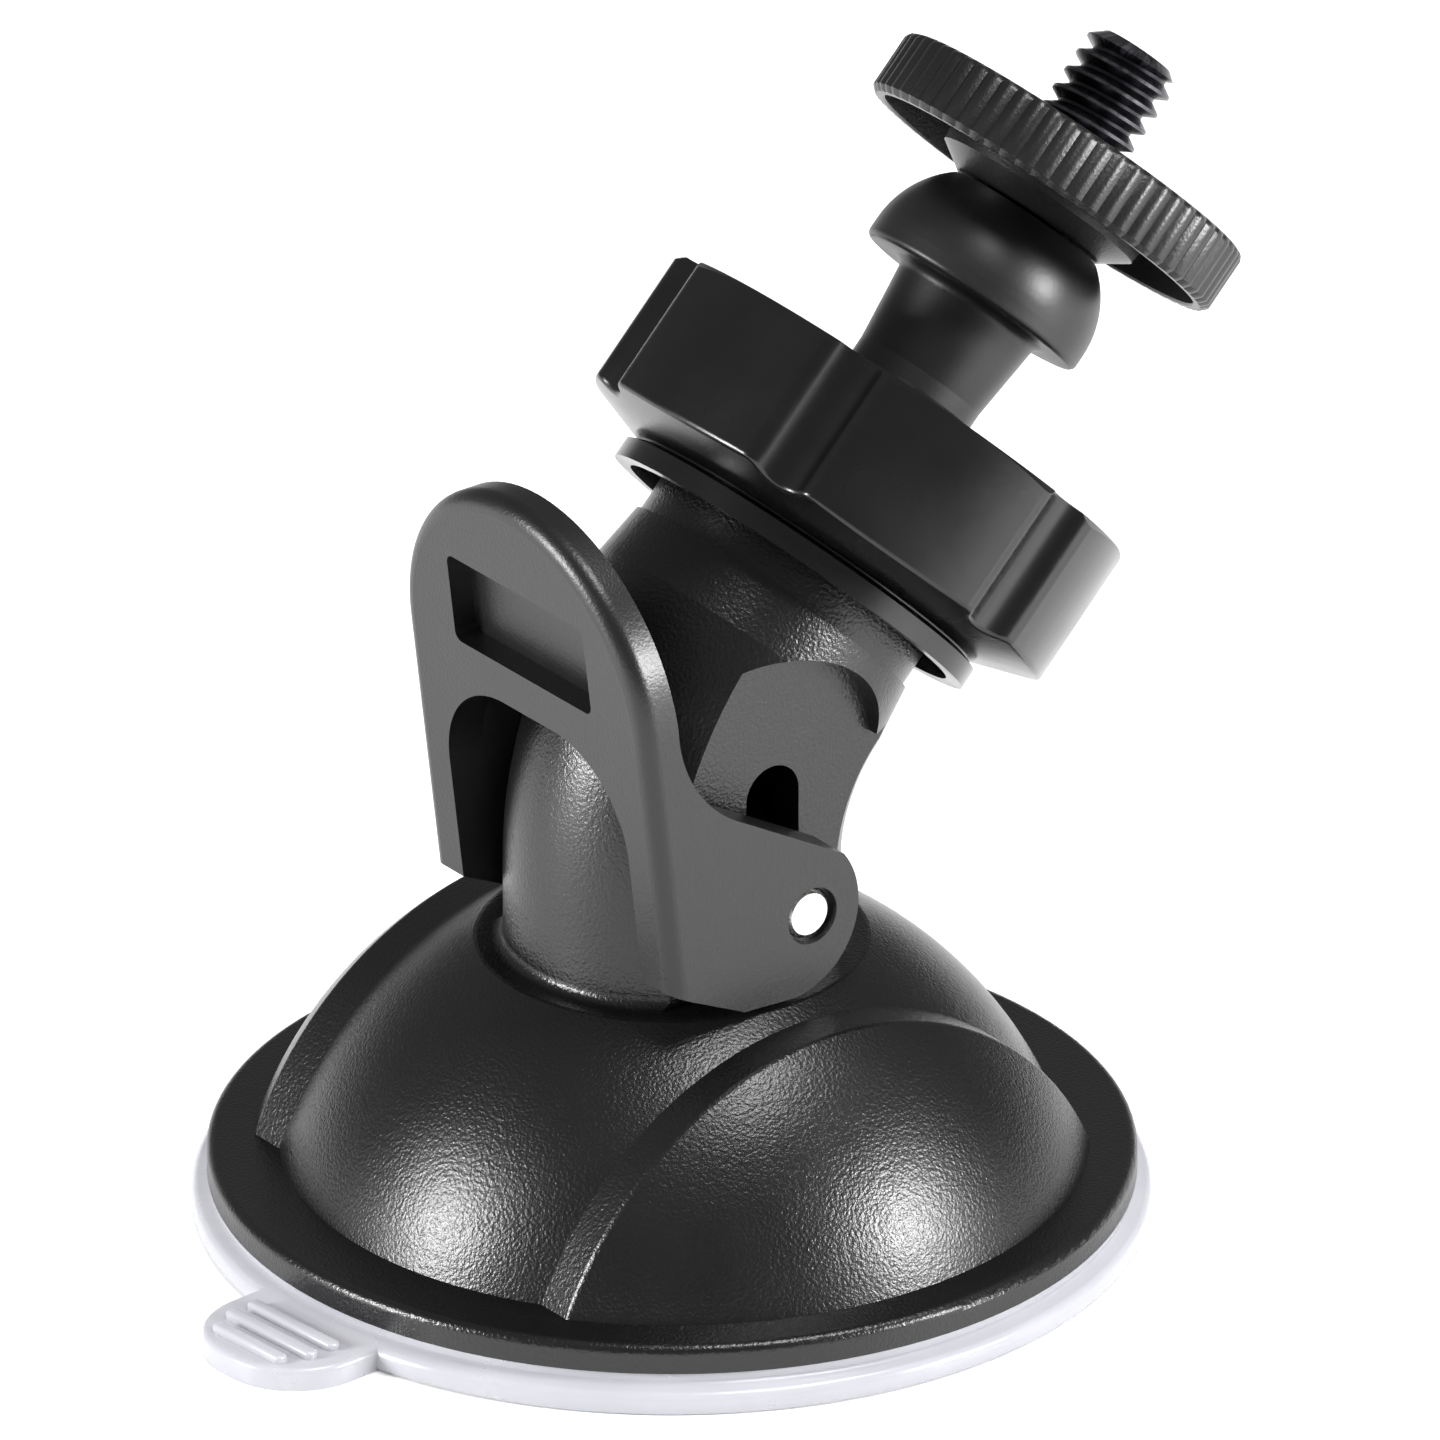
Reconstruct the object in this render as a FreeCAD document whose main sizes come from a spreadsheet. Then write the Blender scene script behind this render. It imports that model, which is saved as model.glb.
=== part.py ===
import FreeCAD
import Part
import Sketcher
import math
import os

os.makedirs("parts", exist_ok=True)

# Suction-cup ball mount for a dash camera, in millimetres.
# Frame: origin at the middle of the suction pad's underside, +Z up from the glass,
# +X the way the ball head leans, the lever's pin along Y.
# "head" parts are drawn upright on their own axis from the bend of the neck and then
# tipped over by their Placement.

doc = FreeCAD.newDocument("ball_mount")
sheet = doc.addObject("Spreadsheet::Sheet", "Sizes")

sizes = {
    # suction pad
    "pad_radius": 29.4,
    "pad_rim_height": 1.5,
    "pad_height": 2.4,
    "pad_step_radius": 28.2,
    "tab_width": 11.0,
    "tab_reach": 36.1,
    "tab_height": 1.6,
    "tab_rib_width": 0.9,
    "tab_rib_height": 0.5,
    "tab_rib_pitch": 1.75,
    "tab_turn": 4.4,
    # housing: flange, dome, neck, elbow and socket in one moulding
    "flange_radius": 28.45,
    "flange_height": 4.2,
    "flange_round": 0.6,
    "dome_radius": 25.6,
    "dome_centre_drop": 4.6,
    "dome_wall": 2.2,
    "bulge_radius": 27.0,
    "bulge_band_radius": 21.9,
    "bulge_round": 0.5,
    "shoulder_height": 18.0,
    "shoulder_round": 0.5,
    "neck_radius": 10.3,
    "neck_foot_round": 0.7,
    "neck_bore_radius": 6.6,
    "neck_bore_top": 33.0,
    "flat_half_width": 8.1,
    "bend_height": 30.8,
    "bend_radius": 18.0,
    "head_tilt": 44.5,
    "socket_radius": 9.85,
    "socket_step": 10.8,
    "socket_step_depth": 0.25,
    "socket_top": 20.0,
    "socket_bore_radius": 8.4,
    "socket_floor": 9.9,
    "arch_x": 1.7,
    "arch_z": 32.3,
    "arch_radius": 7.2,
    "slot_half_width": 2.0,
    # pull core and pin
    "core_radius": 6.3,
    "core_top": 25.8,
    "core_plate_radius": 9.0,
    "core_plate_height": 2.0,
    "core_hole_radius": 1.65,
    "pin_x": 1.5,
    "pin_z": 23.5,
    "pin_radius": 1.6,
    "pin_length": 23.6,
    "pin_lift": 6.6,
    # cam lever
    "lever_width": 24.2,
    "ear_gap_half": 9.0,
    "ear_hole_radius": 1.68,
    "ear_counterbore_radius": 1.85,
    "ear_counterbore_depth": 0.6,
    "plate_thickness": 2.6,
    "plate_lean": 7.0,
    "plate_foot_x": 9.1,
    "plate_foot_z": 21.1,
    "plate_top": 50.6,
    "window_top": 35.9,
    "window_round": 6.5,
    "recess_low": 38.4,
    "recess_high": 44.4,
    "recess_half_width": 6.8,
    "recess_depth": 1.6,
    "recess_round": 0.6,
    "front_round": 1.1,
    # ball, seat and clamp ring
    "ball_radius": 8.0,
    "ball_centre": 19.3,
    "seat_low": 9.9,
    "seat_high": 15.6,
    "seat_radius": 8.2,
    "ring_low": 20.3,
    "ring_radius": 9.7,
    "ball_play": 0.15,
    "stem_neck_radius": 4.3,
    "stem_top_radius": 4.8,
    "collar_low": 32.5,
    "collar_high": 38.6,
    "collar_radius": 7.55,
    "collar_top_radius": 5.2,
    # lock nut
    "nut_radius": 16.6,
    "nut_low": 14.4,
    "nut_high": 24.9,
    "nut_chamfer": 1.5,
    "nut_chamfer_in": 4.4,
    "nut_top_chamfer": 0.5,
    "nut_bore_radius": 10.1,
    "nut_mouth_radius": 8.0,
    "nut_lip": 1.5,
    "skirt_low": 12.7,
    "skirt_radius": 12.7,
    "skirt_wall": 1.15,
    "skirt_waist_radius": 12.0,
    "lobe_half_angle": 23.5,
    "lobe_radius": 24.0,
    "valley_radius": 2.1,
    "lobe_round": 1.2,
    "nut_edge_round": 0.35,
    "nut_turn": 3.0,
    # thumb wheel, washer and camera stud
    "wheel_radius": 12.3,
    "wheel_low": 40.0,
    "wheel_high": 44.2,
    "wheel_rim_wall": 1.0,
    "wheel_web": 1.6,
    "hub_low": 38.8,
    "hub_low_radius": 5.25,
    "hub_high_radius": 6.85,
    "wheel_bore_radius": 3.4,
    "washer_radius": 8.5,
    "washer_height": 0.8,
    "stud_radius": 3.175,
    "stud_core_radius": 3.0,
    "stud_low": 30.0,
    "stud_top": 51.0,
    "stud_tip": 0.6,
}

for row, (alias, number) in enumerate(sizes.items(), start=1):
    cell = f"B{row}"
    sheet.set(f"A{row}", alias)
    sheet.set(cell, str(number))
    sheet.setAlias(cell, alias)
doc.recompute()


def sized(expression):
    """Turn the bare names of an expression into references to the sheet."""
    words = sorted(sizes, key=len, reverse=True)
    out = ""
    rest = str(expression)
    while rest:
        for word in words:
            if rest.startswith(word):
                out += "Sizes." + word
                rest = rest[len(word):]
                break
        else:
            out += rest[0]
            rest = rest[1:]
    return out


def number(expression):
    """The present value of an expression, in millimetres or plain units."""
    return float(sheet.evalExpression(sized(expression)))


def bind(item, prop, expression):
    item.setExpression(prop, sized(expression))


def origin_plane(body, role):
    return next(f for f in body.Origin.OriginFeatures if f.Role == role)


def outline(body, name, plane, corners, height="0"):
    """A closed sketch. Each corner is (x, y) or (x, y, radius): with a radius, the edge to
    the next corner is an arc, which bulges to the right of the way of travel, or to the
    left when "left" is the fourth word."""
    sketch = body.newObject("Sketcher::SketchObject", name)
    sketch.AttachmentSupport = [(origin_plane(body, plane), "")]
    sketch.MapMode = "FlatFace"
    bind(sketch, ".AttachmentOffset.Base.z", height)
    count = len(corners)
    places = [FreeCAD.Vector(number(c[0]), number(c[1]), 0) for c in corners]
    starts = []
    ends = []
    for i, corner in enumerate(corners):
        here = places[i]
        there = places[(i + 1) % count]
        if len(corner) == 2:
            sketch.addGeometry(Part.LineSegment(here, there))
            starts.append(1)
            ends.append(2)
            continue
        radius = number(corner[2])
        left = len(corner) == 4
        chord = there - here
        height = math.sqrt(max(radius ** 2 - chord.Length ** 2 / 4, 0))
        side = FreeCAD.Vector(chord.y, -chord.x, 0).normalize()
        bulge = side * (-1 if left else 1)
        middle = (here + there) / 2 + bulge * (radius - height)
        sketch.addGeometry(Part.Arc(here, middle, there))
        starts.append(2 if left else 1)
        ends.append(1 if left else 2)
    for i, corner in enumerate(corners):
        after = (i + 1) % count
        sketch.addConstraint(Sketcher.Constraint("Coincident", i, ends[i], after, starts[after]))
        for axis, value, text in (
            ("DistanceX", places[i].x, corner[0]),
            ("DistanceY", places[i].y, corner[1]),
        ):
            index = sketch.addConstraint(Sketcher.Constraint(axis, i, starts[i], value))
            bind(sketch, f"Constraints[{index}]", text)
        if len(corner) > 2:
            index = sketch.addConstraint(Sketcher.Constraint("Radius", i, number(corner[2])))
            bind(sketch, f"Constraints[{index}]", corner[2])
    return sketch


def new_body(name):
    body = doc.addObject("PartDesign::Body", name)
    body.Label = name
    return body


def turned(body, kind, name, corners):
    """Revolve a half section, drawn in the XZ plane, about the body's Z axis."""
    sketch = outline(body, name + "_section", "XZ_Plane", corners)
    feature = body.newObject("PartDesign::" + kind, name)
    feature.Profile = sketch
    feature.ReferenceAxis = (sketch, ["V_Axis"])
    feature.Angle = 360
    doc.recompute()
    return feature


def pad(body, name, plane, corners, length, middle=False, height="0"):
    sketch = outline(body, name + "_outline", plane, corners, height)
    feature = body.newObject("PartDesign::Pad", name)
    feature.Profile = sketch
    bind(feature, "Length", length)
    feature.SideType = "Symmetric" if middle else "One side"
    doc.recompute()
    return feature


def cut_through(body, name, plane, corners, length):
    """Pocket a closed outline, half its length to each side of the sketch plane."""
    before = body.Shape.Volume
    sketch = outline(body, name + "_outline", plane, corners)
    feature = body.newObject("PartDesign::Pocket", name)
    feature.Profile = sketch
    bind(feature, "Length", length)
    feature.SideType = "Symmetric"
    doc.recompute()
    if body.Shape.Volume >= before:
        raise RuntimeError(name + " cuts nothing")
    return feature


def rounded(body, name, radius, test):
    """Fillet every edge of the body's tip for which test(edge) is true."""
    base = body.Tip
    names = [f"Edge{i}" for i, e in enumerate(base.Shape.Edges, start=1) if test(e)]
    if not names:
        raise RuntimeError(name + " finds no edge")
    feature = body.newObject("PartDesign::Fillet", name)
    feature.Base = (base, names)
    bind(feature, "Radius", radius)
    doc.recompute()
    return feature


def tip_over(item):
    """Stand an upright head part on the bend of the neck and lean it by head_tilt."""
    item.Placement = FreeCAD.Placement(
        FreeCAD.Vector(0, 0, number("bend_height")),
        FreeCAD.Rotation(FreeCAD.Vector(0, 1, 0), number("head_tilt")),
    )
    bind(item, ".Placement.Base.z", "bend_height")
    bind(item, ".Placement.Rotation.Angle", "head_tilt")


def primitive(kind, name, place=None, turn=None, **props):
    item = doc.addObject("Part::" + kind, name)
    for prop, expression in props.items():
        bind(item, prop, expression)
    rotation = FreeCAD.Rotation(*turn) if turn else FreeCAD.Rotation()
    where = place or ("0", "0", "0")
    item.Placement = FreeCAD.Placement(FreeCAD.Vector(*[number(p) for p in where]), rotation)
    for axis, expression in zip("xyz", where):
        bind(item, f".Placement.Base.{axis}", expression)
    doc.recompute()
    return item


def joined(name, kind, items):
    """Part::MultiFuse or Part::MultiCommon of several items."""
    item = doc.addObject("Part::" + kind, name)
    item.Shapes = items
    doc.recompute()
    return item


def cut(name, base, tool):
    item = doc.addObject("Part::Cut", name)
    item.Base = base
    item.Tool = tool
    doc.recompute()
    return item


Y_AXIS = FreeCAD.Vector(0, 1, 0)
X_AXIS = FreeCAD.Vector(1, 0, 0)


def suction_pad():
    """Soft clear pad: a disc with a thinner rim, and a pull tab with three grip ribs."""
    body = new_body("suction_pad")
    turned(body, "Revolution", "disc", [
        ("0", "0"),
        ("pad_radius - 0.4", "0"),
        ("pad_radius", "0.4"),
        ("pad_radius", "pad_rim_height - 0.4", "0.4"),
        ("pad_radius - 0.4", "pad_rim_height"),
        ("pad_step_radius", "pad_rim_height"),
        ("pad_step_radius", "pad_height"),
        ("0", "pad_height"),
    ])
    half = "tab_width / 2"
    end = "-tab_reach + tab_width / 2"
    pad(body, "tab", "XY_Plane", [
        ("-pad_radius + 2", "-" + half),
        ("-pad_radius + 2", half),
        (end, half, half + " + 0.001"),
        (end, "-" + half),
    ], "tab_height")
    for i in range(3):
        near = f"-pad_radius - 0.9 - {i} * tab_rib_pitch"
        reach = "tab_width / 2 - 1.6" if i < 2 else "tab_width / 2 - 2.4"
        pad(body, f"tab_rib_{i}", "XY_Plane", [
            (near, "-(" + reach + ")"),
            (near, reach),
            (near + " - tab_rib_width", reach),
            (near + " - tab_rib_width", "-(" + reach + ")"),
        ], "tab_height + tab_rib_height")
    bind(body, ".Placement.Rotation.Angle", "tab_turn")
    return body


def housing():
    """Dome, neck and ball socket: one black moulding, open underneath, with a flat on
    each side of the neck for the lever's ears and a slot through both for its pin."""
    elbow_start = "bend_height - bend_radius * tan(head_tilt / 2)"
    dome_foot = "sqrt(dome_radius ^ 2 - (flange_height + dome_centre_drop) ^ 2)"
    dome_top = "sqrt(dome_radius ^ 2 - (shoulder_height + dome_centre_drop) ^ 2)"
    shell = new_body("housing_shell")
    turned(shell, "Revolution", "outside", [
        ("0", "pad_height"),
        ("flange_radius", "pad_height"),
        ("flange_radius", "flange_height - flange_round", "flange_round"),
        ("flange_radius - flange_round", "flange_height"),
        (dome_foot, "flange_height", "dome_radius"),
        (dome_top, "shoulder_height"),
        ("neck_radius + neck_foot_round", "shoulder_height", "neck_foot_round", "left"),
        ("neck_radius", "shoulder_height + neck_foot_round"),
        ("neck_radius", elbow_start),
        ("0", elbow_start),
    ])
    edge_radius = number(dome_top)
    rounded(shell, "shoulder_edge", "shoulder_round", lambda e: (
        e.Curve.TypeId == "Part::GeomCircle"
        and abs(e.Curve.Radius - edge_radius) < 0.01
        and abs(e.Curve.Center.z - number("shoulder_height")) < 0.01
    ))

    ball = primitive("Sphere", "bulge_ball", ("0", "0", "-dome_centre_drop"), Radius="bulge_radius")
    drum = primitive(
        "Cylinder", "bulge_drum", ("0", "bulge_radius", "-dome_centre_drop"),
        (X_AXIS, 90), Radius="bulge_band_radius", Height="2 * bulge_radius",
    )
    slab = primitive(
        "Box", "bulge_slab", ("-bulge_radius", "-bulge_radius", "flange_height - 0.6"),
        Length="2 * bulge_radius", Width="2 * bulge_radius", Height="bulge_radius",
    )
    bulge = joined("bulge", "MultiCommon", [ball, drum, slab])
    soft_bulge = doc.addObject("Part::Fillet", "bulge_rounded")
    soft_bulge.Base = bulge
    crest = math.sqrt(number("bulge_radius ^ 2 - bulge_band_radius ^ 2"))
    soft_bulge.Edges = [
        (i, number("bulge_round"), number("bulge_round"))
        for i, e in enumerate(bulge.Shape.Edges, start=1)
        if abs(abs(e.CenterOfMass.y) - crest) < 0.05 and e.BoundBox.YLength < 0.05
    ]
    doc.recompute()

    elbow = primitive(
        "Torus", "elbow", ("bend_radius", "0", elbow_start),
        Radius1="bend_radius", Radius2="neck_radius", Angle3="head_tilt",
    )
    elbow.Placement.Rotation = FreeCAD.Rotation(-X_AXIS, FreeCAD.Vector(0, 0, 1), Y_AXIS, "ZXY")

    socket = new_body("socket")
    turned(socket, "Revolution", "socket_outside", [
        ("0", "bend_radius * tan(head_tilt / 2)"),
        ("neck_radius", "bend_radius * tan(head_tilt / 2)"),
        ("socket_radius", "socket_step"),
        ("socket_radius - socket_step_depth", "socket_step"),
        ("socket_radius - socket_step_depth", "socket_top"),
        ("0", "socket_top"),
    ])
    tip_over(socket)
    whole = joined("housing_solid", "MultiFuse", [shell, soft_bulge, elbow, socket])

    inner = "dome_radius - dome_wall"
    ceiling = "shoulder_height - 2.5"
    cavity = new_body("cavity")
    turned(cavity, "Revolution", "cavity_inside", [
        ("0", "pad_height - 1"),
        (f"sqrt(({inner}) ^ 2 - (pad_height - 1 + dome_centre_drop) ^ 2)", "pad_height - 1", inner),
        (f"sqrt(({inner}) ^ 2 - ({ceiling} + dome_centre_drop) ^ 2)", ceiling),
        ("neck_bore_radius", ceiling),
        ("neck_bore_radius", "neck_bore_top"),
        ("0", "neck_bore_top"),
    ])
    socket_bore = new_body("socket_bore")
    turned(socket_bore, "Revolution", "socket_inside", [
        ("0", "socket_floor"),
        ("socket_bore_radius", "socket_floor"),
        ("socket_bore_radius", "socket_top + 1"),
        ("0", "socket_top + 1"),
    ])
    tip_over(socket_bore)

    flats = new_body("flats")
    pad(flats, "flat_area", "XZ_Plane", [
        ("arch_x - arch_radius - 2.3", "shoulder_height"),
        ("arch_x + arch_radius + 3", "shoulder_height"),
        ("arch_x + arch_radius + 3", "arch_z"),
        ("arch_x + arch_radius", "arch_z", "arch_radius + 0.001"),
        ("arch_x - arch_radius", "arch_z"),
    ], "2 * neck_radius + 4", middle=True)
    between = primitive(
        "Box", "between_flats", ("-2 * neck_radius", "-flat_half_width", "0"),
        Length="4 * neck_radius", Width="2 * flat_half_width", Height="2 * bend_height",
    )
    side_cuts = cut("side_cuts", flats, between)

    slot = new_body("pin_slot")
    pad(slot, "slot_area", "XZ_Plane", [
        ("pin_x - slot_half_width", "pin_z", "slot_half_width + 0.001"),
        ("pin_x + slot_half_width", "pin_z"),
        ("pin_x + slot_half_width", "pin_z + pin_lift", "slot_half_width + 0.001"),
        ("pin_x - slot_half_width", "pin_z + pin_lift"),
    ], "2 * neck_radius + 4", middle=True)

    tools = joined("housing_cuts", "MultiFuse", [cavity, socket_bore, side_cuts, slot])
    return cut("housing", whole, tools)


def pull_core():
    """Post moulded into the pad's middle: it slides in the neck and the pin crosses it."""
    body = new_body("pull_core")
    plate_top = "pad_height + core_plate_height"
    turned(body, "Revolution", "post", [
        ("0", "pad_height"),
        ("core_plate_radius", "pad_height"),
        ("core_plate_radius", plate_top),
        ("core_radius", plate_top),
        ("core_radius", "core_top - 0.6"),
        ("core_radius - 0.6", "core_top"),
        ("0", "core_top"),
    ])
    cut_through(body, "pin_hole", "XZ_Plane", round_hole("pin_x", "pin_z", "core_hole_radius"), "30")
    return body


def round_hole(x, z, radius):
    """The two half circles of a round outline."""
    return [
        (f"{x} - {radius}", z, radius + " + 0.0005"),
        (f"{x} + {radius}", z, radius + " + 0.0005"),
    ]


def lever_pin():
    """Plain steel pin, chamfered at both ends."""
    body = new_body("lever_pin")
    half = "pin_length / 2"
    turned(body, "Revolution", "rod", [
        ("0", "-" + half),
        ("pin_radius - 0.25", "-" + half),
        ("pin_radius", "-" + half + " + 0.25"),
        ("pin_radius", half + " - 0.25"),
        ("pin_radius - 0.25", half),
        ("0", half),
    ])
    body.Placement = FreeCAD.Placement(
        FreeCAD.Vector(number("pin_x"), 0, number("pin_z")), FreeCAD.Rotation(X_AXIS, 90)
    )
    bind(body, ".Placement.Base.x", "pin_x")
    bind(body, ".Placement.Base.z", "pin_z")
    return body


def cam_lever():
    """Thumb plate with a window for the neck, carried by two cam-shaped ears."""
    body = new_body("lever_blank")
    slope = "tan(plate_lean)"
    front_top = f"-plate_foot_x - (plate_top - plate_foot_z) * {slope}"
    inner_foot = "-plate_foot_x + plate_thickness"
    pad(body, "side_profile", "XZ_Plane", [
        ("-plate_foot_x", "plate_foot_z"),
        ("pin_x - 5.2", "pin_z - 4.95"),
        ("pin_x - 1.2", "pin_z - 5.15", "5.4"),
        ("pin_x + 2.4", "pin_z + 3.5"),
        ("pin_x - 5.2", "pin_z + 7.8", "9", "left"),
        (f"{inner_foot} - (pin_z + 15.5 - plate_foot_z) * {slope}", "pin_z + 15.5"),
        (f"{inner_foot} - (plate_top - plate_foot_z) * {slope}", "plate_top"),
        (front_top, "plate_top"),
    ], "lever_width", middle=True)

    half = "lever_width / 2"
    crown = "plate_top - lever_width / 2"
    cut_through(body, "crown_left", "YZ_Plane", [
        ("0", "plate_top", half, "left"),
        (half, crown),
        (half + " + 2", crown),
        (half + " + 2", "plate_top + 2"),
        ("0", "plate_top + 2"),
    ], "60")
    cut_through(body, "crown_right", "YZ_Plane", [
        ("0", "plate_top"),
        ("0", "plate_top + 2"),
        ("-(" + half + " + 2)", "plate_top + 2"),
        ("-(" + half + " + 2)", crown),
        ("-" + half, crown, half, "left"),
    ], "60")

    spring = "window_top - window_round"
    cut_through(body, "window", "YZ_Plane", [
        ("-ear_gap_half", "plate_foot_z - 10"),
        ("ear_gap_half", "plate_foot_z - 10"),
        ("ear_gap_half", spring, "window_round"),
        ("ear_gap_half - window_round", "window_top"),
        ("-ear_gap_half + window_round", "window_top", "window_round"),
        ("-ear_gap_half", spring),
    ], "60")
    cut_through(body, "behind_plate", "XZ_Plane", [
        (inner_foot, "plate_foot_z"),
        ("12", "plate_foot_z"),
        ("12", "plate_top"),
        (f"{inner_foot} - (plate_top - plate_foot_z) * {slope}", "plate_top"),
    ], "2 * ear_gap_half")
    cut_through(body, "pin_bore", "XZ_Plane", round_hole("pin_x", "pin_z", "ear_hole_radius"), "30")

    lean = math.tan(math.radians(number("plate_lean")))

    def on_front(point):
        rise = point.z - number("plate_foot_z")
        return abs(point.x + number("plate_foot_x") + rise * lean) < 0.01

    def on_side(point):
        return abs(abs(point.y) - number("lever_width") / 2) < 0.01

    def crowned(edge):
        middle = edge.valueAt((edge.FirstParameter + edge.LastParameter) / 2)
        return on_side(middle) or middle.z > number(crown)

    rounded(body, "front_rounding", "front_round", lambda e: (
        crowned(e) and all(on_front(v.Point) for v in e.Vertexes) and e.Length > 5
    ))
    recess = primitive(
        "Box", "thumb_recess",
        (
            f"-plate_foot_x - (recess_low - plate_foot_z) * {slope} - 2",
            "-recess_half_width",
            "recess_low",
        ),
        (Y_AXIS, -number("plate_lean")),
        Length="recess_depth + 2", Width="2 * recess_half_width", Height="recess_high - recess_low",
    )
    soft_recess = doc.addObject("Part::Fillet", "thumb_recess_rounded")
    soft_recess.Base = recess
    soft_recess.Edges = [
        (i, number("recess_round"), number("recess_round"))
        for i, e in enumerate(recess.Shape.Edges, start=1)
        if abs(e.Length - number("recess_depth + 2")) < 0.01
    ]
    sinks = [soft_recess]
    sides = (
        ("left", "lever_width / 2 - ear_counterbore_depth"),
        ("right", "-lever_width / 2"),
    )
    for side, start in sides:
        sinks.append(primitive(
            "Cylinder", f"{side}_pin_sink", ("pin_x", f"{start} + ear_counterbore_depth", "pin_z"),
            (X_AXIS, 90), Radius="ear_counterbore_radius", Height="ear_counterbore_depth",
        ))
    return cut("cam_lever", body, joined("lever_sinks", "MultiFuse", sinks))


def head_part(name, corners):
    """A round piece of the head, drawn about its own axis and tipped over."""
    body = new_body(name)
    turned(body, "Revolution", name + "_turned", corners)
    tip_over(body)
    return body


def ball_seat():
    """Nylon cup that the ball turns in, loose in the bottom of the socket."""
    hollow = "ball_radius + ball_play"
    return head_part("ball_seat", [
        ("0", "seat_low"),
        ("seat_radius", "seat_low"),
        ("seat_radius", "seat_high"),
        (f"sqrt(({hollow}) ^ 2 - (ball_centre - seat_high) ^ 2)", "seat_high", hollow, "left"),
        ("0", f"ball_centre - ({hollow})"),
    ])


def clamp_ring():
    """Nylon ring that the nut presses down on the ball."""
    hollow = "ball_radius + ball_play"
    top = "nut_high - nut_lip"
    return head_part("clamp_ring", [
        (f"sqrt(({hollow}) ^ 2 - (ring_low - ball_centre) ^ 2)", "ring_low"),
        ("ring_radius", "ring_low"),
        ("ring_radius", top),
        (f"sqrt(({hollow}) ^ 2 - ({top} - ball_centre) ^ 2)", top, hollow, "left"),
    ])


def ball_stem():
    """Ball, stem and mushroom collar: one moulding around the foot of the camera stud."""
    fillet = "0.7"
    return head_part("ball_stem", [
        ("0", "ball_centre - ball_radius", "ball_radius"),
        ("stem_neck_radius", "ball_centre + sqrt(ball_radius ^ 2 - stem_neck_radius ^ 2)"),
        ("stem_neck_radius", "nut_high + 2.2"),
        ("stem_top_radius", f"collar_low - {fillet}", fillet, "left"),
        (f"stem_top_radius + {fillet}", "collar_low"),
        ("collar_radius - 0.4", "collar_low", "0.4"),
        ("collar_radius", "collar_low + 0.4"),
        ("collar_radius", "collar_low + 1.1", "6.4"),
        ("collar_top_radius", "collar_high"),
        ("stud_core_radius", "collar_high"),
        ("stud_core_radius", "stud_low"),
        ("0", "stud_low"),
    ])


def camera_stud():
    """Quarter-inch stud: its foot is held in the stem, its end takes the camera."""
    return head_part("camera_stud", [
        ("0", "stud_low"),
        ("stud_core_radius", "stud_low"),
        ("stud_core_radius", "wheel_high"),
        ("stud_radius", "wheel_high"),
        ("stud_radius", "stud_top - stud_tip"),
        ("stud_radius - stud_tip", "stud_top"),
        ("0", "stud_top"),
    ])


def thumb_wheel():
    """Wheel that locks the camera: a rim and a conical hub joined by a web."""
    web_low = "wheel_high - wheel_web"
    recess = "wheel_high - washer_height"
    return head_part("thumb_wheel", [
        ("wheel_bore_radius", "hub_low"),
        ("hub_low_radius", "hub_low"),
        ("hub_high_radius", "wheel_low"),
        ("hub_high_radius + 0.2", web_low),
        ("wheel_radius - wheel_rim_wall", web_low),
        ("wheel_radius - wheel_rim_wall", "wheel_low"),
        ("wheel_radius", "wheel_low"),
        ("wheel_radius", "wheel_high - 0.5", "0.5"),
        ("wheel_radius - 0.5", "wheel_high"),
        ("washer_radius + 0.15", "wheel_high"),
        ("washer_radius + 0.15", recess),
        ("wheel_bore_radius", recess),
    ])


def wheel_washer():
    """Rubber washer in the top of the wheel, which grips the camera."""
    return head_part("wheel_washer", [
        ("wheel_bore_radius", "wheel_high - washer_height"),
        ("washer_radius", "wheel_high - washer_height"),
        ("washer_radius", "wheel_high"),
        ("wheel_bore_radius", "wheel_high"),
    ])


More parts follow.
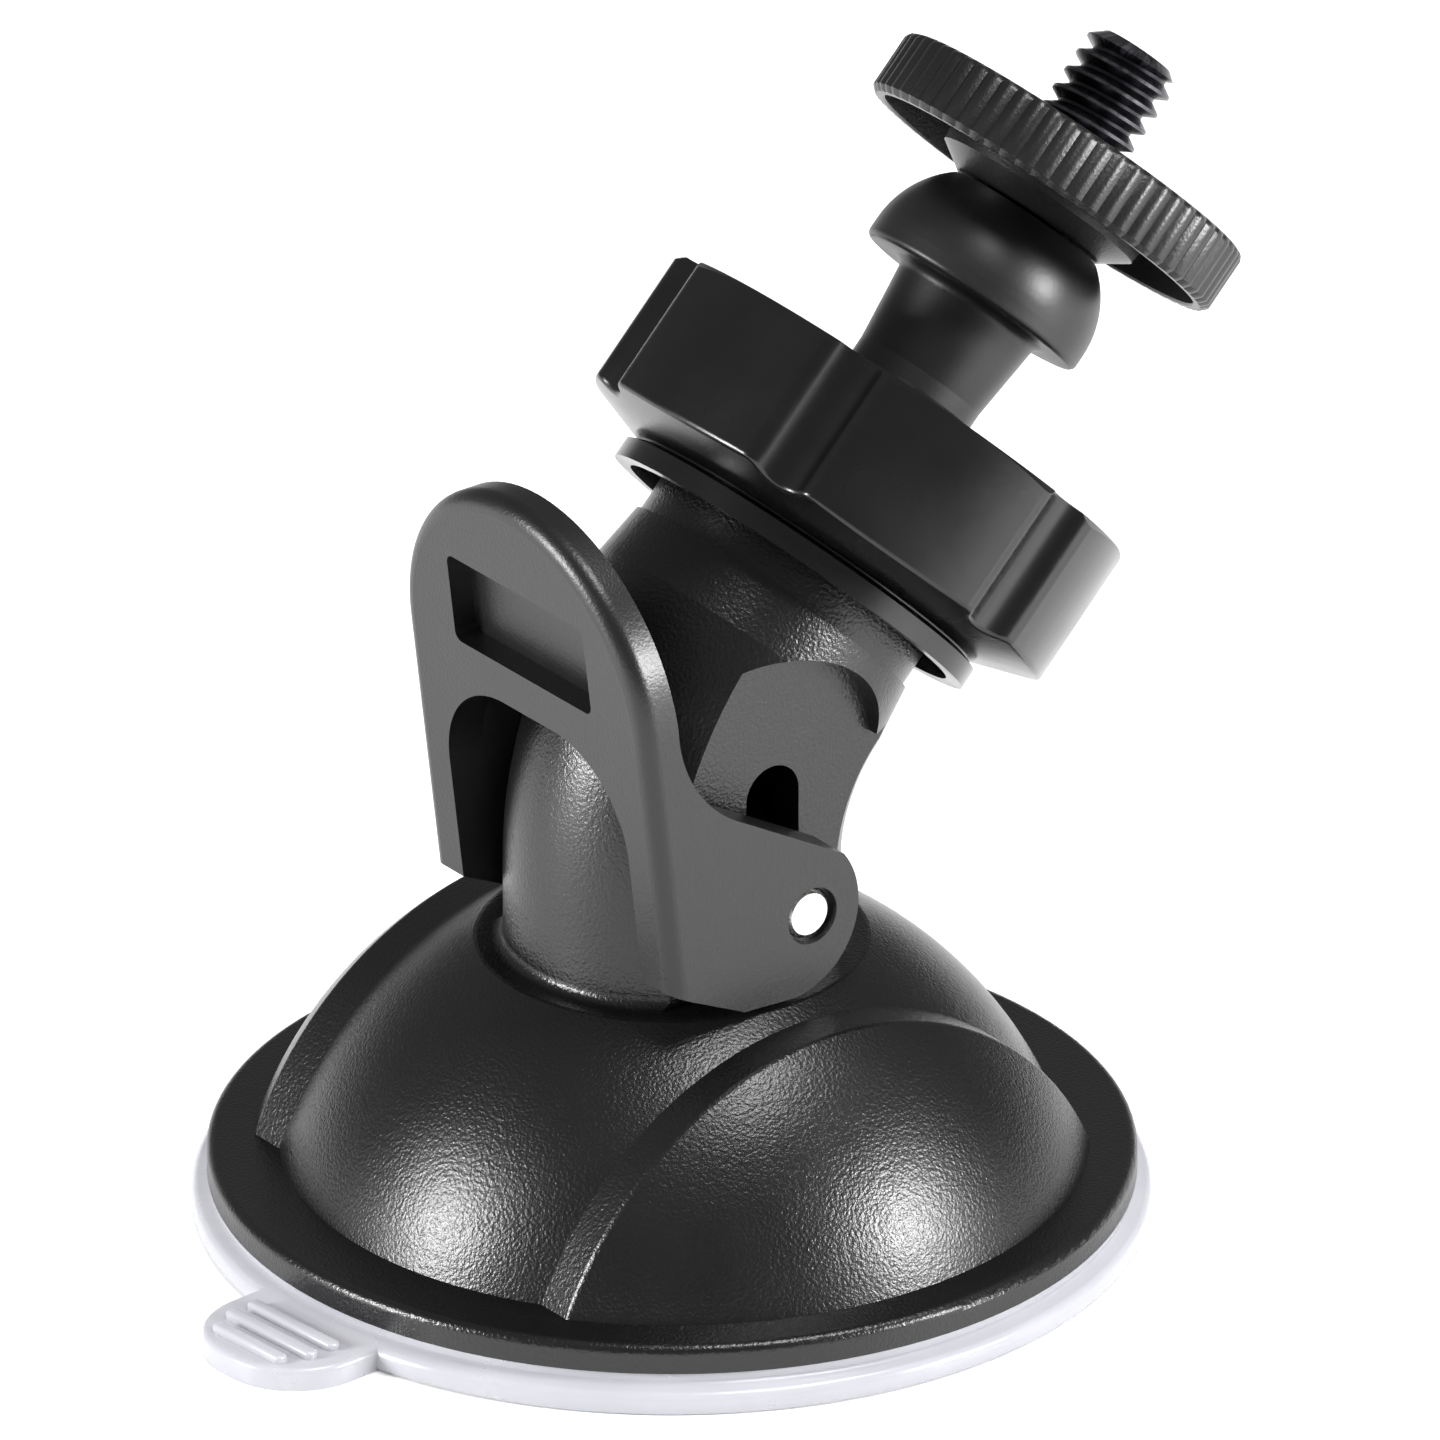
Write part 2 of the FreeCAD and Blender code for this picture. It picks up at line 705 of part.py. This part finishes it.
def lock_nut():
    """Six-lobed nut that closes on the ball, with a hollow skirt below it."""
    body = new_body("lock_nut")
    corners = []
    for lobe in range(6):
        for side, radius in (("-", ("lobe_radius",)), ("+", ("valley_radius", "left"))):
            angle = f"({60 * lobe} + nut_turn {side} lobe_half_angle)"
            corners.append((f"nut_radius * cos{angle}", f"nut_radius * sin{angle}", *radius))
    pad(body, "lobes", "XY_Plane", corners, "nut_high - nut_low", height="nut_low")
    rounded(body, "lobe_edges", "lobe_round", lambda e: (
        abs(e.Length - e.BoundBox.ZLength) < 0.001 and e.Length > 5
    ))
    slope = "nut_chamfer / nut_chamfer_in"
    cut_ring(body, "under_chamfer", [
        (f"nut_radius - nut_chamfer_in - 0.2 / ({slope})", "nut_low - 0.2"),
        ("nut_radius + 1", "nut_low - 0.2"),
        ("nut_radius + 1", f"nut_low + nut_chamfer + {slope}"),
    ])
    cut_ring(body, "top_chamfer", [
        ("nut_radius - nut_top_chamfer - 0.2", "nut_high + 0.2"),
        ("nut_radius + 1", "nut_high - nut_top_chamfer - 1"),
        ("nut_radius + 1", "nut_high + 0.2"),
    ])
    corner_height = number("nut_low + nut_chamfer")
    rounded(body, "under_edge", "nut_edge_round", lambda e: (
        all(abs(v.Z - corner_height) < 0.25 for v in e.Vertexes)
    ))
    turned(body, "Revolution", "skirt", [
        ("skirt_radius - skirt_wall", "skirt_low"),
        ("skirt_radius", "skirt_low"),
        ("skirt_radius", "skirt_low + 1.3"),
        ("skirt_waist_radius", "skirt_low + 1.6"),
        ("skirt_waist_radius", "nut_low + 0.6"),
        ("skirt_radius - skirt_wall", "nut_low + 0.6"),
    ])
    cut_ring(body, "bore", [
        ("0", "skirt_low - 1"),
        ("skirt_radius - skirt_wall", "skirt_low - 1"),
        ("skirt_radius - skirt_wall", "nut_low + 0.5"),
        ("nut_bore_radius", "nut_low + 0.5"),
        ("nut_bore_radius", "nut_high - nut_lip"),
        ("nut_mouth_radius", "nut_high - nut_lip"),
        ("nut_mouth_radius", "nut_high - 0.5"),
        ("nut_mouth_radius + 0.7", "nut_high + 0.2"),
        ("0", "nut_high + 0.2"),
    ])
    tip_over(body)
    return body


def cut_ring(body, name, corners):
    before = body.Shape.Volume
    turned(body, "Groove", name, corners)
    if body.Shape.Volume >= before:
        raise RuntimeError(name + " cuts nothing")


makers = (
    suction_pad, housing, pull_core, lever_pin, cam_lever, ball_seat, clamp_ring,
    ball_stem, camera_stud, thumb_wheel, wheel_washer, lock_nut,
)
pieces = {maker.__name__: maker() for maker in makers}
doc.recompute()

for item in doc.Objects:
    if "Invalid" in item.State or "Error" in item.State:
        raise RuntimeError(item.Name + " failed to recompute")
for name, piece in pieces.items():
    piece.Label = name
    shape = piece.Shape
    if shape.isNull() or not shape.isValid() or not shape.Solids:
        raise RuntimeError(name + " is not a sound solid")
    print(name, len(shape.Solids), round(shape.Volume, 1), shape.BoundBox)
    shape.exportStep(f"parts/{name}.step")
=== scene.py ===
import math

import bmesh
import bpy
from mathutils import Matrix, Vector


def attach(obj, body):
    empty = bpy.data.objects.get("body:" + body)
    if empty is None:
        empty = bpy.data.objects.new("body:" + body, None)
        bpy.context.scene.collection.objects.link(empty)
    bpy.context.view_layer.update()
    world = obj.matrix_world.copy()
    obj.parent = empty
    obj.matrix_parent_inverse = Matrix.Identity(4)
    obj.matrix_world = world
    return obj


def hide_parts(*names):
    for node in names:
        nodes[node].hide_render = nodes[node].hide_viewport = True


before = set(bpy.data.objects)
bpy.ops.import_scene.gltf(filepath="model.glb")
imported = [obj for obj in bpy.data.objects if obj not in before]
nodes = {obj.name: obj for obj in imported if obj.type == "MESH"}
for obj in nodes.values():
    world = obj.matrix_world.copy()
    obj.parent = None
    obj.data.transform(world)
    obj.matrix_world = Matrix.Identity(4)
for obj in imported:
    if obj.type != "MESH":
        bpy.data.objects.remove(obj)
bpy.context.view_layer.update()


# ---------------------------------------------------------------------------
# The table it stands on, two side softboxes, a top softbox and the camera.
# The table is matt white laminate. The softboxes stand either side of the
# camera and low down, so each leaves one round patch of light on the dome.

def linear(hex_colour):
    """sRGB hex colour as the linear RGBA that shaders work in."""
    parts = [int(hex_colour[i:i + 2], 16) / 255 for i in (1, 3, 5)]
    return [c / 12.92 if c <= 0.04045 else ((c + 0.055) / 1.055) ** 2.4 for c in parts] + [1.0]


def add_node(tree, kind, inputs=None, **settings):
    """Add a shader node; an input is given a value, or another node's output to link."""
    node = tree.nodes.new(kind)
    for name, value in settings.items():
        setattr(node, name, value)
    for name, value in (inputs or {}).items():
        if isinstance(value, bpy.types.NodeSocket):
            tree.links.new(value, node.inputs[name])
        else:
            node.inputs[name].default_value = value
    return node


def new_material(name):
    """A material with an empty node tree, and that tree."""
    material = bpy.data.materials.new(name)
    material.use_nodes = True
    material.node_tree.nodes.clear()
    return material, material.node_tree


def toward(azimuth, elevation):
    """Unit vector from the object; azimuth 0 is the -Y side, turning to +X."""
    a, e = math.radians(azimuth), math.radians(elevation)
    return Vector((math.sin(a) * math.cos(e), -math.cos(a) * math.cos(e), math.sin(e)))


VIEW_AZIMUTH = -37.4
VIEW_ELEVATION = 25.9
VIEW_DISTANCE = 2.0
VIEW_CENTRE = Vector((0.0043, 0.0008, 0.0309))
FRAME_WIDTH = 0.0876

camera = bpy.data.objects.new("camera", bpy.data.cameras.new("camera"))
camera.data.sensor_width = 36
camera.data.lens = 36 * VIEW_DISTANCE / FRAME_WIDTH
camera.location = VIEW_CENTRE + VIEW_DISTANCE * toward(VIEW_AZIMUTH, VIEW_ELEVATION)
camera.rotation_euler = (camera.location - VIEW_CENTRE).to_track_quat("Z", "Y").to_euler()
bpy.context.scene.collection.objects.link(camera)
bpy.context.scene.camera = camera


def add_softbox(name, azimuth, elevation, distance, size, power):
    light = bpy.data.lights.new(name, "AREA")
    light.shape = "RECTANGLE"
    light.size, light.size_y = size
    light.energy = power
    lamp = bpy.data.objects.new(name, light)
    lamp.location = VIEW_CENTRE + distance * toward(azimuth, elevation)
    lamp.rotation_euler = toward(azimuth, elevation).to_track_quat("Z", "Y").to_euler()
    bpy.context.scene.collection.objects.link(lamp)


add_softbox("softbox_left", -109, 15, 0.6, (0.13, 0.20), 4.5)
add_softbox("softbox_right", 32, 16, 0.6, (0.14, 0.13), 4.2)
add_softbox("softbox_top", 20, 70, 0.6, (0.24, 0.12), 2.2)

laminate, tree = new_material("white_laminate")
shade = add_node(tree, "ShaderNodeBsdfPrincipled", {
    "Base Color": linear("#f4f4f4"),
    "Roughness": 0.6,
})
add_node(tree, "ShaderNodeOutputMaterial", {"Surface": shade.outputs[0]})

mesh = bmesh.new()
bmesh.ops.create_grid(mesh, x_segments=1, y_segments=1, size=3.0)
floor = bpy.data.objects.new("table", bpy.data.meshes.new("table"))
mesh.to_mesh(floor.data)
mesh.free()
floor.data.materials.append(laminate)
bpy.context.scene.collection.objects.link(floor)

# The room is white, but black flags near the object keep most of it out of the gloss.
ROOM_LIGHT = 0.85
FLAGGED_LIGHT = 0.2

world = bpy.data.worlds.new("studio")
world.use_nodes = True
world.node_tree.nodes.clear()
flags = add_node(world.node_tree, "ShaderNodeMapRange", {
    "Value": add_node(world.node_tree, "ShaderNodeLightPath").outputs["Is Glossy Ray"],
    "To Min": ROOM_LIGHT, "To Max": FLAGGED_LIGHT,
})
room = add_node(world.node_tree, "ShaderNodeBackground", {
    "Color": linear("#ffffff"), "Strength": flags.outputs["Result"],
})
add_node(world.node_tree, "ShaderNodeOutputWorld", {"Surface": room.outputs[0]})
bpy.context.scene.world = world
bpy.context.scene.view_settings.view_transform = "Standard"


# ---------------------------------------------------------------------------
# Suction pad: clear soft TPU, moulded in one with its pull tab. Smooth and a
# little milky, so the rim looks bluish white with a grey edge.

MM = 0.001


def turn(mesh, section, steps):
    """Spin a section, given as (radius, height) in millimetres, a full turn about Z."""
    verts = [mesh.verts.new((radius * MM, 0, height * MM)) for radius, height in section]
    closed = section[0][0] > 0
    ends = verts[1:] + verts[:1] if closed else verts[1:]
    edges = [mesh.edges.new(pair) for pair in zip(verts, ends)]
    bmesh.ops.spin(
        mesh, geom=verts + edges, cent=(0, 0, 0), axis=(0, 0, 1),
        angle=2 * math.pi, steps=steps, use_merge=True,
    )


def clean(mesh):
    """Close the seams and poles and point every face outwards."""
    bmesh.ops.remove_doubles(mesh, verts=mesh.verts, dist=0.002 * MM)
    bmesh.ops.recalc_face_normals(mesh, faces=mesh.faces)


def make_object(name, mesh, smooth_below=35):
    """Turn a bmesh into an object, smooth except at edges sharper than smooth_below degrees."""
    data = bpy.data.meshes.new(name)
    mesh.to_mesh(data)
    mesh.free()
    data.shade_smooth()
    data.set_sharp_from_angle(angle=math.radians(smooth_below))
    piece = bpy.data.objects.new(name, data)
    bpy.context.scene.collection.objects.link(piece)
    return piece


def combine(piece, tool, operation):
    """Cut `piece` with `tool`, or unite or intersect them, and remove the tool."""
    boolean = piece.modifiers.new("combine", "BOOLEAN")
    boolean.operation = operation
    boolean.solver = "EXACT"
    boolean.object = tool
    graph = bpy.context.evaluated_depsgraph_get()
    result = bpy.data.meshes.new_from_object(piece.evaluated_get(graph), depsgraph=graph)
    piece.modifiers.remove(boolean)
    piece.data = result
    bpy.data.objects.remove(tool)


def add_block(mesh, low, high):
    """A rectangular block between two corners in millimetres; returns its vertices."""
    size = [b - a for a, b in zip(low, high)]
    middle = [(a + b) / 2 * MM for a, b in zip(low, high)]
    place = Matrix.Translation(middle) @ Matrix.Diagonal([s * MM for s in size] + [1])
    return bmesh.ops.create_cube(mesh, size=1, matrix=place)["verts"]


def bevel(mesh, edges, width, segments):
    bmesh.ops.bevel(
        mesh, geom=edges, offset=width * MM, offset_type="OFFSET", segments=segments,
        profile=0.5, affect="EDGES", material=-1, clamp_overlap=True,
    )


def long_edges(mesh, axis, side=0):
    """Edges parallel to an axis, on one side of the block in X if side is -1 or 1."""
    middle = sum(v.co.x for v in mesh.verts) / len(mesh.verts)
    return [
        e for e in mesh.edges
        if abs((e.verts[0].co - e.verts[1].co).normalized()[axis]) > 0.99
        and (side == 0 or all((v.co.x - middle) * side > 0 for v in e.verts))
    ]


def upper_edges(mesh):
    top = max(v.co.z for v in mesh.verts)
    return [e for e in mesh.edges if all(v.co.z > top - 0.01 * MM for v in e.verts)]


PAD_RADIUS = 29.4
PAD_RIM = [
    (0, 0), (PAD_RADIUS - 0.35, 0), (PAD_RADIUS - 0.1, 0.1), (PAD_RADIUS, 0.35), (PAD_RADIUS, 0.95),
    (PAD_RADIUS - 0.12, 1.28), (PAD_RADIUS - 0.42, 1.5), (PAD_RADIUS - 1.0, 1.58),
    (PAD_RADIUS - 1.2, 1.8), (PAD_RADIUS - 1.2, 2.4), (0, 2.4),
]
TAB_REACH = 35.99
TAB_TURN = math.radians(4.4)
TAB_HALF_WIDTH = 5.5
TAB_HEIGHT = 1.45
TAB_CORNER = 4.9
RIB_PITCH = 1.75
RIB_WIDTH = 0.9
RIB_HEIGHT = 0.5

mesh = bmesh.new()
turn(mesh, PAD_RIM, 180)
clean(mesh)
pad = make_object("suction_pad_soft", mesh)


def join_to_pad(name, mesh):
    """Swing a piece of the tab round to the tab's direction and melt it into the pad."""
    swing = Matrix.Rotation(TAB_TURN, 3, "Z")
    bmesh.ops.rotate(mesh, verts=mesh.verts, cent=(0, 0, 0), matrix=swing)
    combine(pad, make_object(name, mesh), "UNION")


mesh = bmesh.new()
add_block(mesh, (-TAB_REACH, -TAB_HALF_WIDTH, 0), (-PAD_RADIUS + 3, TAB_HALF_WIDTH, TAB_HEIGHT))
bevel(mesh, long_edges(mesh, 2, -1), TAB_CORNER, 10)
bevel(mesh, upper_edges(mesh), 0.35, 3)
join_to_pad("tab", mesh)
for row, half_length in enumerate((3.9, 3.9, 3.1)):
    near = -PAD_RADIUS - 0.9 - row * RIB_PITCH
    top = TAB_HEIGHT + RIB_HEIGHT
    mesh = bmesh.new()
    add_block(mesh, (near - RIB_WIDTH, -half_length, 0.7), (near, half_length, top))
    bevel(mesh, long_edges(mesh, 2), 0.3, 3)
    bevel(mesh, upper_edges(mesh), 0.22, 3)
    join_to_pad("rib", mesh)
pad.data.shade_smooth()
pad.data.set_sharp_from_angle(angle=math.radians(40))

# Milky TPU: light scatters inside it, and long slow ripples catch on its surface.
clear_tpu, tree = new_material("milky_clear_tpu")
place = add_node(tree, "ShaderNodeTexCoord").outputs["Object"]
cloud = add_node(tree, "ShaderNodeTexNoise", {
    "Vector": place, "Scale": 1 / (6 * MM), "Detail": 3.0,
})
tint = add_node(tree, "ShaderNodeMix", {
    "Factor": cloud.outputs["Fac"], "A": linear("#dbdce6"), "B": linear("#efeff5"),
}, data_type="RGBA")
gloss = add_node(tree, "ShaderNodeMapRange", {
    "Value": cloud.outputs["Fac"], "From Min": 0.3, "From Max": 0.7, "To Min": 0.16, "To Max": 0.3,
})
ripple = add_node(tree, "ShaderNodeTexNoise", {
    "Vector": place, "Scale": 1 / (2.2 * MM), "Detail": 1.0,
})
bump = add_node(tree, "ShaderNodeBump", {
    "Height": ripple.outputs["Fac"], "Strength": 0.6, "Distance": 0.05 * MM,
})
shade = add_node(tree, "ShaderNodeBsdfPrincipled", {
    "Base Color": tint.outputs["Result"], "Roughness": gloss.outputs["Result"],
    "IOR": 1.5, "Transmission Weight": 0.55, "Normal": bump.outputs["Normal"],
})
add_node(tree, "ShaderNodeOutputMaterial", {"Surface": shade.outputs[0]})
pad.data.materials.clear()
pad.data.materials.append(clear_tpu)
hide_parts("suction_pad")
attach(pad, "base")


# ---------------------------------------------------------------------------
# Housing: dome, neck and ball socket in one piece. Injection-moulded ABS from
# a spark-eroded tool, so the whole outside has a fine pebbled grain.

def moulded_plastic(name, colours, roughness, grain, depth, mottle):
    """Moulded plastic: a grain of bumps `grain` mm apart over slow changes of gloss."""
    material, tree = new_material(name)
    place = add_node(tree, "ShaderNodeTexCoord").outputs["Object"]
    pebbles = add_node(tree, "ShaderNodeTexNoise", {
        "Vector": place, "Scale": 1 / (grain * MM), "Detail": 2.0, "Roughness": 0.5,
    })
    flow = add_node(tree, "ShaderNodeTexNoise", {
        "Vector": place, "Scale": 1 / (9 * MM), "Detail": 3.0, "Roughness": 0.55,
    })
    gloss = add_node(tree, "ShaderNodeMapRange", {
        "Value": flow.outputs["Fac"], "From Min": 0.3, "From Max": 0.7,
        "To Min": roughness - mottle / 2, "To Max": roughness + mottle / 2,
    })
    tone = add_node(tree, "ShaderNodeMix", {
        "Factor": flow.outputs["Fac"], "A": linear(colours[0]), "B": linear(colours[1]),
    }, data_type="RGBA")
    bump = add_node(tree, "ShaderNodeBump", {
        "Height": pebbles.outputs["Fac"], "Strength": 1.0, "Distance": depth * MM,
    })
    shade = add_node(tree, "ShaderNodeBsdfPrincipled", {
        "Base Color": tone.outputs["Result"],
        "Roughness": gloss.outputs["Result"],
        "IOR": 1.53,
        "Normal": bump.outputs["Normal"],
    })
    add_node(tree, "ShaderNodeOutputMaterial", {"Surface": shade.outputs[0]})
    return material


def finish_node(node, material):
    """Give a CAD node its material in every slot."""
    for slot in nodes[node].material_slots:
        slot.material = material


grained_abs = moulded_plastic(
    "spark_grained_black_abs", ("#09090a", "#0d0d0e"), 0.29, 0.22, 0.045, 0.06,
)
finish_node("housing", grained_abs)


# ---------------------------------------------------------------------------
# Pull core and pin. The core is a black acetal post moulded into the pad; the
# pin is cut from bright nickel-plated steel wire and shows at both ears.

acetal = moulded_plastic("black_acetal", ("#0c0c0d", "#121213"), 0.3, 0.5, 0.004, 0.08)
finish_node("pull_core", acetal)

plated_steel, tree = new_material("nickel_plated_steel_wire")
place = add_node(tree, "ShaderNodeTexCoord").outputs["Object"]
scratches = add_node(tree, "ShaderNodeTexNoise", {
    "Vector": place, "Scale": 1 / (0.35 * MM), "Detail": 4.0,
})
gloss = add_node(tree, "ShaderNodeMapRange", {
    "Value": scratches.outputs["Fac"], "From Min": 0.3, "From Max": 0.7,
    "To Min": 0.16, "To Max": 0.4,
})
dents = add_node(tree, "ShaderNodeBump", {
    "Height": scratches.outputs["Fac"], "Strength": 0.7, "Distance": 0.03 * MM,
})
shade = add_node(tree, "ShaderNodeBsdfPrincipled", {
    "Base Color": linear("#d9d8d5"), "Metallic": 1.0, "Roughness": gloss.outputs["Result"],
    "Normal": dents.outputs["Normal"],
})
add_node(tree, "ShaderNodeOutputMaterial", {"Surface": shade.outputs[0]})
finish_node("lever_pin", plated_steel)


# ---------------------------------------------------------------------------
# Cam lever: black ABS moulding with a finer grain than the housing. Its two
# ears are the cams, and the pin runs through them.

fine_abs = moulded_plastic("fine_grained_black_abs", ("#0b0b0c", "#101011"), 0.36, 0.2, 0.02, 0.08)
finish_node("cam_lever", fine_abs)


# ---------------------------------------------------------------------------
# Ball seat and clamp ring: natural nylon, which stays slippery when the nut
# presses them on the ball. Hidden but for the ring's edge in the nut's mouth.

nylon = moulded_plastic("natural_nylon", ("#cfccc2", "#dedbd1"), 0.45, 0.4, 0.006, 0.1)
finish_node("ball_seat", nylon)
finish_node("clamp_ring", nylon)


# ---------------------------------------------------------------------------
# Ball with its stem and mushroom collar, and the six-lobed lock nut. Both are
# black ABS; the nut's tool is polished and the stem's is left satin.

glossy_abs = moulded_plastic("polished_black_abs", ("#070708", "#0b0b0c"), 0.26, 0.5, 0.004, 0.1)
satin_abs = moulded_plastic("satin_black_abs", ("#070708", "#0b0b0c"), 0.42, 0.3, 0.006, 0.1)
finish_node("ball_stem", satin_abs)
finish_node("lock_nut", glossy_abs)


# ---------------------------------------------------------------------------
# Camera stud: a quarter-inch, 20-turns-per-inch steel screw with a black
# oxide finish, moulded into the stem. Its sharp thread crests are painted
# brighter in speckles, as a painted highlight for the glints on them.

BEND_HEIGHT = 30.8
HEAD_TILT = math.radians(44.5)
head_place = Matrix.Translation((0, 0, BEND_HEIGHT * MM)) @ Matrix.Rotation(HEAD_TILT, 4, "Y")

THREAD_PITCH = 1.27
CREST_RADIUS = 3.17
ROOT_RADIUS = 2.45
STUD_FOOT = 37.6
STUD_TOP = 51.0
THREAD_STEPS = 60

mesh = bmesh.new()
turns = round((STUD_TOP - STUD_FOOT) / THREAD_PITCH) + 3
one_turn = [(ROOT_RADIUS, 0.0), (ROOT_RADIUS, 0.2), (CREST_RADIUS, 0.6), (CREST_RADIUS, 0.8)]
rib = [
    (radius, STUD_FOOT + (i - 2) * THREAD_PITCH + rise)
    for i in range(turns) for radius, rise in one_turn
]
verts = [mesh.verts.new((radius * MM, 0, height * MM)) for radius, height in rib]
edges = [mesh.edges.new(pair) for pair in zip(verts, verts[1:])]
bmesh.ops.spin(
    mesh, geom=verts + edges, cent=(0, 0, 0), axis=(0, 0, 1), angle=2 * math.pi,
    steps=THREAD_STEPS, dvec=(0, 0, THREAD_PITCH * MM / THREAD_STEPS),
)
bmesh.ops.remove_doubles(mesh, verts=mesh.verts, dist=0.002 * MM)
for height, end in ((STUD_FOOT, -1), (STUD_TOP, 1)):
    bmesh.ops.bisect_plane(
        mesh, geom=mesh.verts[:] + mesh.edges[:] + mesh.faces[:], plane_co=(0, 0, height * MM),
        plane_no=(0, 0, end), clear_outer=True,
    )
bmesh.ops.holes_fill(mesh, edges=[e for e in mesh.edges if e.is_boundary], sides=0)
bmesh.ops.recalc_face_normals(mesh, faces=mesh.faces)
stud = make_object("camera_stud_threaded", mesh, 30)

mesh = bmesh.new()
turn(mesh, [
    (0, STUD_FOOT - 1), (CREST_RADIUS + 0.2, STUD_FOOT - 1), (CREST_RADIUS + 0.2, STUD_TOP - 0.9),
    (ROOT_RADIUS - 0.15, STUD_TOP - 0.01), (0, STUD_TOP - 0.01),
], 96)
clean(mesh)
combine(stud, make_object("tip", mesh), "INTERSECT")
stud.data.transform(head_place)
stud.data.shade_smooth()
stud.data.set_sharp_from_angle(angle=math.radians(30))

black_steel, tree = new_material("black_oxide_steel")
place = add_node(tree, "ShaderNodeTexCoord").outputs["Object"]
crest_sharpness = add_node(tree, "ShaderNodeNewGeometry").outputs["Pointiness"]
speckle = add_node(tree, "ShaderNodeTexNoise", {
    "Vector": place, "Scale": 1 / (0.5 * MM), "Detail": 4.0,
})
# Painted highlight: sharp thread crests, in speckles, get the bright colour in place of glints.
edge = add_node(tree, "ShaderNodeMapRange", {
    "Value": crest_sharpness, "From Min": 0.52, "From Max": 0.62, "To Min": 0.0, "To Max": 1.0,
})
painted_crest_glint = add_node(tree, "ShaderNodeMath", {
    0: edge.outputs["Result"], 1: speckle.outputs["Fac"],
}, operation="MULTIPLY")
tone = add_node(tree, "ShaderNodeMix", {
    "Factor": painted_crest_glint.outputs[0], "A": linear("#35353a"), "B": linear("#a2a2a6"),
}, data_type="RGBA")
gloss = add_node(tree, "ShaderNodeMapRange", {
    "Value": speckle.outputs["Fac"], "From Min": 0.3, "From Max": 0.7,
    "To Min": 0.26, "To Max": 0.42,
})
shade = add_node(tree, "ShaderNodeBsdfPrincipled", {
    "Base Color": tone.outputs["Result"], "Metallic": 1.0, "Roughness": gloss.outputs["Result"],
})
add_node(tree, "ShaderNodeOutputMaterial", {"Surface": shade.outputs[0]})
stud.data.materials.clear()
stud.data.materials.append(black_steel)
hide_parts("camera_stud")
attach(stud, "head")


# ---------------------------------------------------------------------------
# Thumb wheel: black ABS, hollow underneath between its rim and its conical
# hub, with sixty-four fine knurl ridges moulded round the rim.

WHEEL_RADIUS = 12.3
WHEEL_LOW = 40.0
WHEEL_HIGH = 44.2
RIDGES = 64
STEPS_PER_RIDGE = 5
KNURL_DEPTHS = {0: 0.2, 1: 0.08, 4: 0.08}
WHEEL_SECTION = [
    (3.4, 38.8), (5.1, 38.8), (5.3, 38.95), (6.85, WHEEL_LOW), (7.05, 42.3), (7.35, 42.6),
    (11.0, 42.6), (11.3, 42.3), (11.3, WHEEL_LOW + 0.12), (11.42, WHEEL_LOW),
    (11.95, WHEEL_LOW), (WHEEL_RADIUS, 40.35),
    (WHEEL_RADIUS, 43.75), (12.15, 44.05), (11.8, WHEEL_HIGH), (8.8, WHEEL_HIGH), (8.65, 44.05),
    (8.65, 43.4), (3.4, 43.4),
]

mesh = bmesh.new()
turn(mesh, WHEEL_SECTION, RIDGES * STEPS_PER_RIDGE)
clean(mesh)
for vert in mesh.verts:
    radius = math.hypot(vert.co.x, vert.co.y) / MM
    if radius < 11.9:
        continue
    angle = math.atan2(vert.co.y, vert.co.x) / (2 * math.pi) * RIDGES * STEPS_PER_RIDGE
    depth = KNURL_DEPTHS.get(round(angle) % STEPS_PER_RIDGE, 0)
    narrow = (radius - depth) / radius
    vert.co.x *= narrow
    vert.co.y *= narrow
wheel = make_object("thumb_wheel_knurled", mesh, 38)
wheel.data.transform(head_place)
wheel.data.materials.append(fine_abs)
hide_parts("thumb_wheel")
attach(wheel, "wheel")


# ---------------------------------------------------------------------------
# Washer: a black rubber disc pressed into the wheel's top, with fine rings
# that grip the camera.

WASHER_RADIUS = 8.5
WASHER_LOW = 43.4
RING_PITCH = 0.85

grip = [(3.4, WHEEL_HIGH - 0.15)]
for ring in range(5):
    start = 3.9 + ring * RING_PITCH
    grip += [
        (start, WHEEL_HIGH - 0.15), (start + 0.12, WHEEL_HIGH),
        (start + 0.5, WHEEL_HIGH), (start + 0.62, WHEEL_HIGH - 0.15),
    ]
grip += [
    (8.3, WHEEL_HIGH - 0.15), (WASHER_RADIUS, WHEEL_HIGH - 0.3),
    (WASHER_RADIUS, WASHER_LOW), (3.4, WASHER_LOW),
]

mesh = bmesh.new()
turn(mesh, grip, 96)
clean(mesh)
washer = make_object("washer_ringed", mesh, 30)
washer.data.transform(head_place)
rubber = moulded_plastic("black_rubber", ("#111112", "#19191a"), 0.62, 0.25, 0.01, 0.12)
washer.data.materials.append(rubber)
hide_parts("wheel_washer")
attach(washer, "washer")
